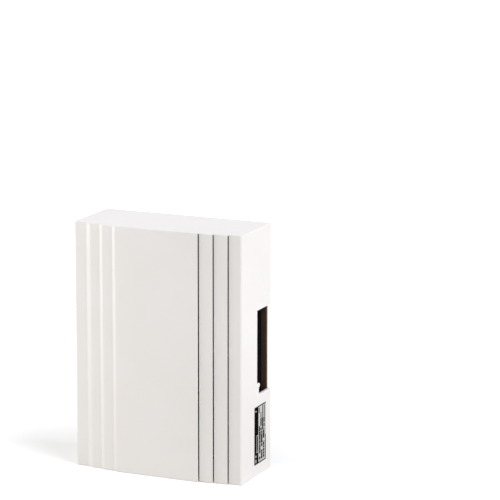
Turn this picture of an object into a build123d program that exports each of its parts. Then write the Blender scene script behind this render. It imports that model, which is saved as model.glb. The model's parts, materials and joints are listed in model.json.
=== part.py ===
"""Two-tone gong box for a house door: a stepped white cover over a dark base plate.

A mains solenoid throws a plunger against one tone plate, and its return spring throws it back at the
other. X runs to the right as seen from the room, Y runs into the wall and Z runs up. The origin is the
middle of the back face, in the plane of the wall. All lengths are in millimetres.
"""
from build123d import *
import math
import os

os.makedirs("parts", exist_ok=True)

# Case
case_width = 97.0
case_height = 134.0
case_depth = 42.0
cover_wall = 1.6
side_round = 1.0
rim_round = 0.4
overrun = 1.0

# Stepped front: a proud middle panel, then strips that drop back towards each side
panel_width = 49.8
outer_strip_width = 7.6
strips_per_side = 3
step_drop = 1.1
ramp_inset = 1.0
ramp_width = 2.0
outer_ramp_width = 2.8
ramp_round = 2.0
lip_thick = 0.35
slot_side_gap = 0.25
slot_depth = 4.2
slot_run = 1.2
slot_end_skin = 0.4

# Sound notch in each side wall, open to the wall plane, with a small hook in its lower corner
notch_height = 46.0
notch_depth = 18.2
hook_reach = 5.4
hook_neck = 4.2
hook_height = 5.8
hook_head = 2.4
hook_inset = 0.8
hook_round = 0.8

# Sticker on the right side wall
label_width = 15.4
label_thick = 0.12
label_pocket = 0.2
label_play = 0.15
label_rear_gap = 6.2
label_top_gap = 6.0
label_low_gap = 6.1

# Base plate
base_thick = 2.0
base_play = 0.2
base_round = 0.8
rim_height = 3.0
rim_wall = 1.4
rim_notch_gap = 4.0
pip_length = 3.0
pip_play = 0.05
pip_side_place = 30.0
slot_width = 4.5
slot_length = 9.0
slot_edge_gap = 13.2
cable_hole_radius = 5.0
cable_hole_edge_gap = 8.0
pad_height = 1.2

# Tone plates
plate_thick = 2.5
plate_wall_gap = 2.4
plate_front_gap = 1.9
plate_rear_gap = 1.6
low_plate_length = 104.0
high_plate_length = 92.0
node_share = 0.224
plate_round = 2.0

# Plate mountings: a rubber grommet on a steel pin in a moulded post
grommet_flange = 1.2
grommet_flange_radius = 4.6
grommet_waist_radius = 3.4
pin_radius = 1.75
pin_depth = 5.0
pin_tail = 0.8
post_thick = 6.0
post_width = 9.0
post_cap = 4.5
gusset_reach = 8.0
gusset_thick = 1.6
retainer_radius = 3.6
retainer_thick = 0.4
seat_play = 0.05

# Solenoid
coil_length = 35.0
flange_thick = 1.5
bobbin_wall = 1.0
winding_inset = 1.6
tape_thick = 0.3
yoke_thick = 2.0
yoke_width = 22.0
ear_margin = 2.4
bobbin_play = 0.2
tube_wall = 0.5
tube_tail = 1.5
pin_ledge_height = 3.0
pin_ledge_thick = 4.5
pin_ledge_margin = 5.0
lead_pin_radius = 0.5
lead_pin_length = 3.0
lead_pin_pitch = 8.0
lead_pin_edge_gap = 1.0

# Plunger, strikers and return spring
core_share = 0.141
core_length = 32.0
core_play = 0.08
core_offset = 9.0
low_gap = 1.2
high_gap = 8.0
striker_share = 0.76
striker_round = 1.2
spigot_share = 0.405
spigot_length = 4.0
collar_edge = 1.15
collar_thick = 1.5
collar_place = 5.8
spring_wire = 0.7
spring_tube_gap = 0.822
spring_turns = 6

# Terminal block: two captive screws that draw a clamp cage up under a brass bar
terminal_side_gap = 8.0
terminal_rise = 14.5
terminal_pitch = 12.0
cage_width = 6.6
cage_length = 7.0
cage_depth = 7.0
cage_wall = 0.9
cage_play = 0.2
cage_travel = 2.3
housing_wall = 1.5
housing_front = 3.0
housing_end_gap = 1.9
screw_head_radius = 2.5
screw_head_thick = 1.5
screw_head_sink = 1.8
screw_radius = 1.45
screw_slot_width = 0.7
screw_slot_depth = 0.8
bar_width = 4.2
bar_thick = 1.0
bar_tail = 2.0
bar_gap = 0.3
wire_hole_radius = 1.7
lug_reach = 7.0
lug_thick = 2.5
lug_boss_height = 4.0
lug_boss_radius = 3.4
fixing_radius = 1.4
fixing_head_radius = 2.6
fixing_head_thick = 1.4
fixing_length = 7.0
fixing_play = 0.2

# Yoke screws from the back
yoke_screw_radius = 1.5
yoke_screw_head_radius = 2.75
yoke_screw_head_thick = 1.6
yoke_screw_sink = 0.2
yoke_screw_place = 12.0
yoke_screw_play = 0.15

# Coil leads
lead_radius = 0.8
lead_straight = 4.0
bend_share = 0.45

# Case outline, worked out
half_width = case_width / 2
half_height = case_height / 2
inner_x = half_width - cover_wall
inner_z = half_height - cover_wall
side_depth = case_depth - strips_per_side * step_drop
strip_width = (half_width - panel_width / 2 - outer_strip_width) / (strips_per_side - 1)
base_x = inner_x - base_play
base_z = inner_z - base_play
notch_z = notch_height / 2
label_top = -notch_z - label_top_gap
label_bottom = -half_height + label_low_gap

# Places in depth, measured from the wall plane
plate_width = side_depth - cover_wall - base_thick - plate_front_gap - plate_rear_gap
axis_depth = base_thick + plate_rear_gap + plate_width / 2
yoke_rear = base_thick + pad_height
yoke_front = yoke_rear + yoke_thick
flange_size = 2 * (axis_depth - yoke_front - bobbin_play)

# Places across
plate_outer_x = inner_x - plate_wall_gap
plate_inner_x = plate_outer_x - plate_thick
post_outer_x = plate_inner_x - grommet_flange - seat_play
coil_x = coil_length / 2
ear_inner_x = coil_x + bobbin_play
ear_outer_x = ear_inner_x + yoke_thick
core_radius = flange_size * core_share
striker_radius = core_radius * striker_share
spigot_radius = core_radius * spigot_share
tube_bore = core_radius + core_play
tube_radius = tube_bore + tube_wall
spring_radius = tube_radius + spring_tube_gap + spring_wire / 2
collar_radius = spring_radius + spring_wire / 2 + collar_edge
winding_radius = flange_size / 2 - winding_inset
core_left = -core_offset - core_length / 2
core_right = -core_offset + core_length / 2
collar_left = -plate_inner_x + low_gap + collar_place
collar_right = collar_left + collar_thick
ledge_bottom = -flange_size / 2 - pin_ledge_height
lead_pin_x = coil_x - pin_ledge_thick / 2
lead_pin_end = ledge_bottom - lead_pin_length

# Terminal block, worked out
cell_x = cage_width / 2 + cage_play
housing_x = terminal_pitch / 2 + cell_x + housing_wall
terminal_place = plate_inner_x - terminal_side_gap - lug_reach - housing_x
cable_x = -terminal_place
cable_z = -base_z + cable_hole_edge_gap
terminal_z = cable_z + terminal_rise
cell_z = cage_length / 2 + housing_end_gap
housing_z = cell_z + housing_wall
cell_rear = base_thick + housing_wall
cage_rear = cell_rear + cage_play
cage_front = cage_rear + cage_depth
cell_front = cage_front + cage_travel + cage_play
housing_depth = cell_front + housing_front
screw_head_rear = housing_depth - screw_head_sink
bar_rear = cage_front - cage_wall - bar_gap - bar_gap - bar_thick
bar_front = bar_rear + bar_thick
screw_tip = bar_front + bar_gap
wire_depth = (cage_rear + cage_wall + bar_rear) / 2


def block(x0, x1, depth0, depth1, z0, z1):
    """A box between two places in X, two depths from the wall and two heights."""
    size = Box(abs(x1 - x0), abs(depth1 - depth0), abs(z1 - z0))
    return Pos((x0 + x1) / 2, -(depth0 + depth1) / 2, (z0 + z1) / 2) * size


def rod_x(radius, x0, x1, depth, z):
    """A round bar along X."""
    return Pos((x0 + x1) / 2, -depth, z) * Rot(Y=90) * Cylinder(radius, abs(x1 - x0))


def rod_y(radius, x, depth0, depth1, z):
    """A round bar along Y."""
    return Pos(x, -(depth0 + depth1) / 2, z) * Rot(X=90) * Cylinder(radius, abs(depth1 - depth0))


def rod_z(radius, x, depth, z0, z1):
    """A round bar along Z."""
    return Pos(x, -depth, (z0 + z1) / 2) * Cylinder(radius, abs(z1 - z0))


def prism_z(points, z0, z1):
    """A straight-sided body over an outline drawn in X and Y."""
    outline = make_face(Polyline(*points, close=True))
    return Pos(0, 0, z0) * extrude(outline, amount=z1 - z0)


def step_x(step):
    """Distance of a step from the middle, counted from the panel outwards."""
    return panel_width / 2 + step * strip_width


def face_depth(strip):
    """Depth of the front of a strip; strip 0 is the middle panel."""
    return case_depth - strip * step_drop


def front_outline():
    """Outside of the cover in X and Y: upright risers on the right, sloped ones on the left."""
    right, left = [(half_width, 0)], [(-half_width, 0)]
    crown = -half_width
    for strip in range(strips_per_side, 0, -1):
        outermost = strip == strips_per_side
        right.append((half_width if outermost else step_x(strip), -face_depth(strip)))
        right.append((step_x(strip - 1), -face_depth(strip)))
        middle = ramp_inset - step_x(strip - 1)
        reach = (outer_ramp_width if outermost else ramp_width) / 2
        left.append((crown, -face_depth(strip)))
        left.append((middle - reach, -face_depth(strip)))
        crown = middle + reach
    right.append((step_x(0), -face_depth(0)))
    left.append((crown, -face_depth(0)))
    return right + left[::-1]


def inner_outline():
    """Inside of the cover, one wall behind the outside all the way."""
    right, left = [(inner_x, overrun)], [(-inner_x, overrun)]
    edge_right, edge_left = inner_x, -inner_x
    for strip in range(strips_per_side, 0, -1):
        depth = face_depth(strip) - cover_wall
        riser = step_x(strip - 1) - cover_wall
        right += [(edge_right, -depth), (riser, -depth)]
        left += [(edge_left, -depth), (ramp_inset - riser, -depth)]
        edge_right, edge_left = riser, ramp_inset - riser
    right.append((edge_right, -(face_depth(0) - cover_wall)))
    left.append((edge_left, -(face_depth(0) - cover_wall)))
    return right + left[::-1]


def shell():
    """The plain stepped shell with rounded upright edges, open at the back."""
    outer = prism_z(front_outline(), -half_height, half_height)
    upright = outer.edges().filter_by(Axis.Z)
    corners = [e for e in upright if math.isclose(abs(e.center().X), half_width) and e.center().Y < 0]
    outer = fillet(corners, side_round)
    foot = -step_x(strips_per_side - 1) - outer_ramp_width
    ramps = [e for e in outer.edges().filter_by(Axis.Z) if foot < e.center().X < 0]
    outer = fillet(ramps, ramp_round)
    front_ends = [e for e in outer.edges() if math.isclose(abs(e.center().Z), half_height)
                  and e.center().Y < -side_depth + side_round / 2]
    outer = fillet(front_ends, rim_round)
    return outer - prism_z(inner_outline(), -inner_z, inner_z)


def riser_slot(step):
    """The open riser at one right-hand step: it runs in under the lip of the inner slat."""
    x = step_x(step)
    lip = -(face_depth(step) - lip_thick)
    back = -(face_depth(step) - lip_thick - slot_depth)
    points = [(x + slot_side_gap, lip - step_drop), (x, lip - step_drop), (x, lip),
              (x - slot_run, lip + slot_run), (x - slot_run, back), (x + slot_side_gap, back)]
    end = half_height - slot_end_skin
    return prism_z(points, -end, end)


def side_hook(side):
    """The small hook that stands in the lower front corner of a sound notch."""
    foot = -notch_z - overrun
    top = -notch_z + hook_height
    outline = [(-notch_depth - overrun, foot), (-notch_depth + hook_neck, foot),
               (-notch_depth + hook_neck, top - hook_head), (-notch_depth + hook_reach, top - hook_head),
               (-notch_depth + hook_reach, top), (-notch_depth - overrun, top)]
    face = make_face(Polyline(*outline, close=True))
    nose = face.vertices().group_by(Axis.X)[-1]
    face = fillet(nose, hook_round)
    body = extrude(Plane.YZ * face, amount=cover_wall - hook_inset)
    return Pos(inner_x if side > 0 else -inner_x - cover_wall + hook_inset, 0, 0) * body


def front_cover():
    """The white cover: stepped shell, riser slots, sound notches, hooks and the sticker's pocket."""
    body = shell()
    for step in range(strips_per_side):
        body -= riser_slot(step)
    for side in (-1, 1):
        wall = side * (half_width + overrun), side * (inner_x - overrun)
        body -= block(*wall, -overrun, notch_depth, -notch_z, notch_z)
        body += side_hook(side)
    pocket_x = half_width - label_pocket
    body -= block(pocket_x, half_width + overrun, label_rear_gap - label_play,
                  label_rear_gap + label_width + label_play,
                  label_top + label_play, label_bottom - label_play)
    return body


def rating_label():
    """The sticker, seated on the floor of its pocket."""
    x = half_width - label_pocket
    return block(x, x + label_thick, label_rear_gap, label_rear_gap + label_width,
                 label_top, label_bottom)


def low_node():
    """Height of the low plate's nodes, where its ends do not shake."""
    return low_plate_length * (1 / 2 - node_share)


def high_node():
    """Height of the high plate's nodes."""
    return high_plate_length * (1 / 2 - node_share)


def plate_places():
    """Side and height of each plate mounting: the low plate is on the left."""
    return [(-1, low_node()), (-1, -low_node()), (1, high_node()), (1, -high_node())]


def rim():
    """Low wall round the base plate that locates the cover, left out beside the sound notches."""
    deep = base_thick + rim_height
    ring = block(-base_x, base_x, base_thick, deep, -base_z, base_z)
    ring = fillet(ring.edges().filter_by(Axis.Y), base_round)
    inner_x_place = base_x - rim_wall
    inner_z_place = base_z - rim_wall
    ring -= block(-inner_x_place, inner_x_place, base_thick, deep, -inner_z_place, inner_z_place)
    gap = notch_z + rim_notch_gap
    return ring - block(-base_x, base_x, base_thick, deep, -gap, gap)


def friction_pips():
    """Small flats on the rim that grip the cover."""
    deep = base_thick + rim_height
    half = pip_length / 2
    proud = base_play - pip_play
    high = (notch_z + rim_notch_gap + base_z) / 2
    pips = []
    for side in (-1, 1):
        for place in (-1, 1):
            x = place * pip_side_place
            edge = side * (base_z - rim_wall), side * (base_z + proud)
            pips.append(block(x - half, x + half, base_thick, deep, *edge))
            z = place * high
            edge = side * (base_x - rim_wall), side * (base_x + proud)
            pips.append(block(*edge, base_thick, deep, z - half, z + half))
    return pips


def obround(x, z):
    """An upright slot for a wall screw."""
    straight = (slot_length - slot_width) / 2
    half = slot_width / 2
    through = -overrun, base_thick + overrun
    cut = block(x - half, x + half, *through, z - straight, z + straight)
    for end in (-straight, straight):
        cut += rod_y(half, x, *through, z + end)
    return cut


def plate_post(side, z):
    """A moulded post that carries one plate pin."""
    top = axis_depth + post_cap
    inner = post_outer_x - post_thick
    post = block(side * inner, side * post_outer_x, base_thick, top, z - post_width / 2, z + post_width / 2)
    front = post.edges().filter_by(Axis.X).group_by(Axis.Y)[0]
    post = fillet(front, post_width / 4)
    high = axis_depth - pin_radius
    web = [(side * inner, -base_thick), (side * (inner - gusset_reach), -base_thick), (side * inner, -high)]
    return post + prism_z(web, z - gusset_thick / 2, z + gusset_thick / 2)


def base_plate():
    """The dark base plate with its rim, plate posts, coil pad, terminal bosses and wall slots."""
    plate = block(-base_x, base_x, 0, base_thick, -base_z, base_z)
    plate = fillet(plate.edges().filter_by(Axis.Y), base_round)
    body = plate + rim()
    for pip in friction_pips():
        body += pip
    for side, z in plate_places():
        body += plate_post(side, z)
        body -= pin(side, z, seat_play / 2)
    body += block(-ear_outer_x, ear_outer_x, base_thick, yoke_rear, -yoke_width / 2, yoke_width / 2)
    for x in lug_places():
        body += rod_y(lug_boss_radius, x, base_thick, base_thick + lug_boss_height, terminal_z)
        body -= rod_y(fixing_radius + seat_play / 2, x, base_thick / 2, housing_depth, terminal_z)
    for z in (-base_z + slot_edge_gap, base_z - slot_edge_gap):
        body -= obround(0, z)
    body -= rod_y(cable_hole_radius, cable_x, -overrun, base_thick + overrun, cable_z)
    for side in (-1, 1):
        x = side * yoke_screw_place
        body -= rod_y(yoke_screw_radius + yoke_screw_play, x, -overrun, yoke_rear + overrun, 0)
        sink = yoke_screw_head_thick + yoke_screw_sink
        body -= rod_y(yoke_screw_head_radius + yoke_screw_play, x, -overrun, sink, 0)
    return body


def pin(side, z, play=0.0):
    """One plate pin, or with play the hole for it."""
    root = side * (post_outer_x - pin_depth - play)
    tip = side * (plate_outer_x + grommet_flange + 2 * seat_play + retainer_thick + pin_tail / 2)
    return rod_x(pin_radius + play, root, tip, axis_depth, z)


def grommet(side, z):
    """A rubber grommet with a waist that sits in the plate."""
    inner = plate_inner_x - grommet_flange
    outer = plate_outer_x + grommet_flange
    waist = grommet_waist_radius - seat_play
    body = rod_x(grommet_flange_radius, side * inner, side * plate_inner_x, axis_depth, z)
    body += rod_x(waist, side * inner, side * outer, axis_depth, z)
    body += rod_x(grommet_flange_radius, side * plate_outer_x, side * outer, axis_depth, z)
    through = side * (inner - overrun), side * (outer + overrun)
    return body - rod_x(pin_radius + seat_play, *through, axis_depth, z)


def retainer(side, z):
    """A push-on washer that keeps the grommet on its pin."""
    inner = plate_outer_x + grommet_flange + seat_play
    disc = rod_x(retainer_radius, side * inner, side * (inner + retainer_thick), axis_depth, z)
    through = side * (inner - overrun), side * (inner + overrun)
    return disc - rod_x(pin_radius + seat_play / 2, *through, axis_depth, z)


def tone_plate(side, length, node):
    """A steel tone bar on edge, with a hole at each node."""
    depth = axis_depth - plate_width / 2, axis_depth + plate_width / 2
    bar = block(side * plate_inner_x, side * plate_outer_x, *depth, -length / 2, length / 2)
    bar = fillet(bar.edges().filter_by(Axis.X), plate_round)
    for z in (-node, node):
        through = side * (plate_inner_x - overrun), side * (plate_outer_x + overrun)
        bar -= rod_x(grommet_waist_radius, *through, axis_depth, z)
    return bar


def solenoid_yoke():
    """The folded steel frame round the coil."""
    half = yoke_width / 2
    ear_front = axis_depth + flange_size / 2 - ear_margin
    body = block(-ear_outer_x, ear_outer_x, yoke_rear, yoke_front, -half, half)
    for side in (-1, 1):
        ear = block(side * ear_inner_x, side * ear_outer_x, yoke_rear, ear_front, -half, half)
        ear = fillet(ear.edges().filter_by(Axis.X).group_by(Axis.Y)[0], ear_margin)
        body += ear
        across = side * (ear_inner_x - overrun), side * (ear_outer_x + overrun)
        through = yoke_rear - overrun, yoke_front + overrun
        body -= rod_x(tube_radius + seat_play, *across, axis_depth, 0)
        body -= rod_y(yoke_screw_radius + seat_play, side * yoke_screw_place, *through, 0)
    bends = [e for e in body.edges().filter_by(Axis.Z) if math.isclose(-e.center().Y, yoke_rear)]
    return fillet(bends, yoke_thick)


def coil_bobbin():
    """The moulded bobbin: a tube, two square flanges and a ledge for the two lead pins."""
    half = flange_size / 2
    rear = axis_depth - half
    front = axis_depth + half
    body = rod_x(tube_radius + seat_play + bobbin_wall, -coil_x, coil_x, axis_depth, 0)
    for side in (-1, 1):
        flange = block(side * coil_x, side * (coil_x - flange_thick), rear, front, -half, half)
        body += fillet(flange.edges().filter_by(Axis.X), winding_inset)
    body += block(coil_x - pin_ledge_thick, coil_x, rear + pin_ledge_margin, front - pin_ledge_margin,
                  -half + winding_inset / 2, -half - pin_ledge_height)
    for place in lead_pin_places():
        hole_top = ledge_bottom + pin_ledge_height
        body -= rod_z(lead_pin_radius + seat_play / 2, lead_pin_x, place, ledge_bottom, hole_top)
    return body - rod_x(tube_radius + seat_play, -coil_x - overrun, coil_x + overrun, axis_depth, 0)


def lead_pin_places():
    """Depths of the two lead pins, from the rear end of their ledge."""
    first = axis_depth - flange_size / 2 + pin_ledge_margin + lead_pin_edge_gap
    return [first, first + lead_pin_pitch]


def coil_pins():
    """Two pins that the winding's ends are wrapped on."""
    return [rod_z(lead_pin_radius, lead_pin_x, depth, lead_pin_end, ledge_bottom + pin_ledge_height)
            for depth in lead_pin_places()]


def ring_x(outer, inner, half_length):
    """A plain sleeve round the coil's axis."""
    return (rod_x(outer, -half_length, half_length, axis_depth, 0)
            - rod_x(inner, -half_length - overrun, half_length + overrun, axis_depth, 0))


def coil_winding():
    """The copper winding as one body."""
    inner = tube_radius + 2 * seat_play + bobbin_wall
    return ring_x(winding_radius, inner, coil_x - flange_thick - seat_play)


def coil_tape():
    """The tape round the winding."""
    inner = winding_radius + seat_play
    return ring_x(inner + tape_thick, inner, coil_x - flange_thick - tape_thick)


def guide_tube():
    """The brass tube that the plunger runs in; it also holds the bobbin in the yoke."""
    return ring_x(tube_radius, tube_bore, ear_outer_x + tube_tail)


def plunger_core():
    """The steel core, with a socket in each end."""
    body = rod_x(core_radius, core_left, core_right, axis_depth, 0)
    body = chamfer(body.edges().filter_by(GeomType.CIRCLE), core_radius / 10)
    socket = spigot_length + seat_play
    body -= rod_x(spigot_radius + seat_play, core_left - overrun, core_left + socket, axis_depth, 0)
    return body - rod_x(spigot_radius + seat_play, core_right - socket, core_right + overrun, axis_depth, 0)


def striker(tip, root, inward):
    """A nylon striker with a round nose and a spigot pressed into the core."""
    rod = rod_x(striker_radius, tip, root, axis_depth, 0)
    nose = rod.edges().filter_by(GeomType.CIRCLE).sort_by(Axis.X)[0 if inward > 0 else -1]
    spigot = rod_x(spigot_radius, root, root + inward * spigot_length, axis_depth, 0)
    return fillet([nose], striker_round) + spigot


def low_striker():
    """The left striker, with the collar that the return spring pushes on."""
    body = striker(-plate_inner_x + low_gap, core_left, 1)
    return body + rod_x(collar_radius, collar_left, collar_right, axis_depth, 0)


def high_striker():
    """The right striker, which runs through the coil."""
    return striker(plate_inner_x - high_gap, core_right, -1)


def helix_biarcs(radius, start, length, turns):
    """A helix round the plunger's axis as tangent arcs, two to each quarter turn, and its points."""
    spans = 4 * turns
    rise = length / (2 * math.pi * turns)

    def point(angle):
        return Vector(start + rise * angle, -axis_depth + radius * math.cos(angle), radius * math.sin(angle))

    def tangent(angle):
        return Vector(rise, -radius * math.sin(angle), radius * math.cos(angle)).normalized()

    arcs = []
    for span in range(spans):
        a0 = 2 * math.pi * turns * span / spans
        a1 = 2 * math.pi * turns * (span + 1) / spans
        p0, p1, t0, t1 = point(a0), point(a1), tangent(a0), tangent(a1)
        chord = p1 - p0
        total = t0 + t1
        quad = 2 * (1 - t0.dot(t1))
        lin = 2 * chord.dot(total)
        reach = (-lin + math.sqrt(lin * lin + 4 * quad * chord.dot(chord))) / (2 * quad)
        near = p0 + t0 * reach
        far = p1 - t1 * reach
        joint = (near + far) / 2
        arcs.append(TangentArc(p0, joint, tangent=t0))
        arcs.append(TangentArc(joint, p1, tangent=(far - near).normalized()))
    points = [point(2 * math.pi * turns * i / (12 * spans)) for i in range(12 * spans + 1)]
    return Wire(arcs), points


def least_coil_gap(points, turns):
    """Least distance between a helix tube and its own next turn."""
    per_turn = (len(points) - 1) // turns
    apart = per_turn // 2
    best = min((a - b).length for i, a in enumerate(points) for b in points[i + apart:i + 2 * per_turn])
    return best - spring_wire


def return_spring():
    """The return spring, one unbroken wire between the yoke and the collar."""
    start = collar_right + spring_wire / 2 + seat_play
    end = -ear_outer_x - spring_wire / 2 - seat_play
    path, points = helix_biarcs(spring_radius, start, end - start, spring_turns)
    print("least gap between spring turns:", round(least_coil_gap(points, spring_turns), 2))
    section = Plane(origin=path @ 0, z_dir=path % 0) * Circle(spring_wire / 2)
    return sweep(section, path=path)


def cell_places():
    """Middle of each terminal cell."""
    return [terminal_place - terminal_pitch / 2, terminal_place + terminal_pitch / 2]


def lug_places():
    """Middle of each fixing lug of the terminal block."""
    reach = housing_x + lug_reach / 2
    return [terminal_place - reach, terminal_place + reach]


def fixing_lug(x):
    """One fixing lug of the terminal block, from inside the housing's wall to its round end."""
    rear = base_thick + lug_boss_height
    side = 1 if x > terminal_place else -1
    root = terminal_place + side * (housing_x - housing_wall / 2)
    end = x + side * lug_reach / 2
    half = lug_reach / 2
    lug = block(root, end, rear, rear + lug_thick, terminal_z - half, terminal_z + half)
    outer = lug.edges().filter_by(Axis.Y).group_by(Axis.X)[-1 if side > 0 else 0]
    lug = fillet(outer, lug_reach / 3)
    through = rear - overrun, rear + lug_thick + overrun
    return lug - rod_y(fixing_radius + fixing_play, x, *through, terminal_z)


def terminal_housing():
    """The moulded terminal block with two cells and two fixing lugs."""
    body = block(terminal_place - housing_x, terminal_place + housing_x, base_thick, housing_depth,
                 terminal_z - housing_z, terminal_z + housing_z)
    body = fillet(body.edges().filter_by(Axis.Y), housing_wall / 2)
    for x in lug_places():
        body += fixing_lug(x)
    floor = terminal_z - cell_z
    roof = terminal_z + cell_z
    for x in cell_places():
        body -= block(x - cell_x, x + cell_x, cell_rear, cell_front, floor, roof)
        body -= rod_y(screw_radius + seat_play, x, cell_front - overrun, housing_depth + overrun, terminal_z)
        body -= rod_y(screw_head_radius + cage_play, x, screw_head_rear, housing_depth + overrun, terminal_z)
        body -= rod_z(wire_hole_radius, x, wire_depth, terminal_z - housing_z - overrun, floor + overrun)
        slot = bar_width / 2 + seat_play
        body -= block(x - slot, x + slot, bar_rear - seat_play, bar_front + seat_play,
                      roof - overrun, terminal_z + housing_z + overrun)
    return body


def terminal_bars():
    """A brass bar down through each cage; its tail takes a coil lead."""
    low = terminal_z - cell_z + seat_play
    high = terminal_z + housing_z + bar_tail
    half = bar_width / 2
    return [block(x - half, x + half, bar_rear, bar_front, low, high) for x in cell_places()]


def clamp_cage(x):
    """The square cage that the screw draws forward."""
    half = cage_width / 2
    end = cage_length / 2
    cage = block(x - half, x + half, cage_rear, cage_front, terminal_z - end, terminal_z + end)
    inner = half - cage_wall
    cage -= block(x - inner, x + inner, cage_rear + cage_wall, cage_front - cage_wall,
                  terminal_z - end - overrun, terminal_z + end + overrun)
    through = cage_front - cage_wall - overrun, cage_front + overrun
    return cage - rod_y(screw_radius + seat_play, x, *through, terminal_z)


def terminal_screw(x):
    """A captive clamp screw with a slotted head."""
    head_front = screw_head_rear + screw_head_thick
    body = rod_y(screw_radius, x, screw_tip, screw_head_rear, terminal_z)
    head = rod_y(screw_head_radius, x, screw_head_rear, head_front, terminal_z)
    head = chamfer(head.edges().filter_by(GeomType.CIRCLE).group_by(Axis.Y)[0], screw_head_thick / 5)
    half = screw_slot_width / 2
    head -= block(x - screw_head_radius, x + screw_head_radius, head_front - screw_slot_depth,
                  head_front + overrun, terminal_z - half, terminal_z + half)
    return body + head


def block_screws():
    """The two screws that fix the terminal block to its bosses."""
    seat = base_thick + lug_boss_height + lug_thick
    screws = []
    for x in lug_places():
        head = rod_y(fixing_head_radius, x, seat, seat + fixing_head_thick, terminal_z)
        head = fillet(head.edges().filter_by(GeomType.CIRCLE).group_by(Axis.Y)[0], fixing_head_thick / 2)
        half = screw_slot_width / 2
        arm = fixing_radius + screw_slot_width / 2
        cut = seat + fixing_head_thick - screw_slot_depth, seat + fixing_head_thick + overrun
        head -= block(x - half, x + half, *cut, terminal_z - arm, terminal_z + arm)
        head -= block(x - arm, x + arm, *cut, terminal_z - half, terminal_z + half)
        tip = max(seat - fixing_length, base_thick / 2 + seat_play)
        screws.append(head + rod_y(fixing_radius, x, tip, seat, terminal_z))
    return screws


def yoke_screws():
    """Two screws from the back of the base plate into the yoke."""
    screws = []
    for side in (-1, 1):
        x = side * yoke_screw_place
        front = yoke_screw_sink + yoke_screw_head_thick
        head = rod_y(yoke_screw_head_radius, x, yoke_screw_sink, front, 0)
        head = chamfer(head.edges().filter_by(GeomType.CIRCLE).group_by(Axis.Y)[-1], yoke_screw_sink)
        half = screw_slot_width / 2
        head -= block(x - yoke_screw_head_radius, x + yoke_screw_head_radius, 0,
                      yoke_screw_sink + screw_slot_depth, -half, half)
        screws.append(head + rod_y(yoke_screw_radius, x, front, yoke_front - seat_play, 0))
    return screws


def coil_lead(pin_depth_place, x):
    """An insulated lead from a coil pin down to the tail of a terminal bar."""
    start = Vector(lead_pin_x, -pin_depth_place, lead_pin_end)
    end = Vector(x, -(bar_rear + bar_front) / 2, terminal_z + housing_z + bar_tail)
    drop = Vector(0, 0, -lead_straight)
    points = [start, start + drop, end - drop, end]
    turn = math.radians((points[2] - points[1]).get_angle(drop))
    radius = bend_share * min(lead_straight, (points[2] - points[1]).length) / math.tan(turn / 2)
    print("lead bend radii:", round(radius, 2), round(radius, 2))
    path = FilletPolyline(*points, radius=[radius, radius])
    lead = sweep(Plane(origin=path @ 0, z_dir=path % 0) * Circle(lead_radius), path=path)
    print("lead volume over section times length:",
          round(lead.volume / (math.pi * lead_radius ** 2 * path.length), 4))
    return lead


def save(name, *solids):
    """Write one node; identical pieces share a node as separate solids."""
    shape = solids[0] if len(solids) == 1 else Compound(children=list(solids))
    export_step(shape, f"parts/{name}.step")


left_cell, right_cell = cell_places()
near_pin, far_pin = lead_pin_places()

save("front_cover", front_cover())
save("rating_label", rating_label())
save("base_plate", base_plate())
save("tone_plate_low", tone_plate(-1, low_plate_length, low_node()))
save("tone_plate_high", tone_plate(1, high_plate_length, high_node()))
save("tone_plate_pins", *[pin(side, z) for side, z in plate_places()])
save("tone_plate_grommets", *[grommet(side, z) for side, z in plate_places()])
save("pin_retainers", *[retainer(side, z) for side, z in plate_places()])
save("solenoid_yoke", solenoid_yoke())
save("coil_bobbin", coil_bobbin())
save("coil_winding", coil_winding())
save("coil_tape", coil_tape())
save("guide_tube", guide_tube())
save("coil_pins", *coil_pins())
save("plunger_core", plunger_core())
save("striker_low", low_striker())
save("striker_high", high_striker())
save("return_spring", return_spring())
save("yoke_screws", *yoke_screws())
save("terminal_housing", terminal_housing())
save("terminal_bars", *terminal_bars())
save("clamp_cage_left", clamp_cage(left_cell))
save("clamp_cage_right", clamp_cage(right_cell))
save("terminal_screw_left", terminal_screw(left_cell))
save("terminal_screw_right", terminal_screw(right_cell))
save("block_screws", *block_screws())
save("coil_lead_left", coil_lead(near_pin, left_cell))
save("coil_lead_right", coil_lead(far_pin, right_cell))
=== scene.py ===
"""Looks of the two-tone gong box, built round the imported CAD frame.

Lengths are in metres in the CAD's frame; names that end in _mm hold millimetres. X runs to the right as
seen from the room, Y into the wall and Z up.
"""
import json
import math

import bmesh
import bpy
from mathutils import Matrix, Vector


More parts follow.
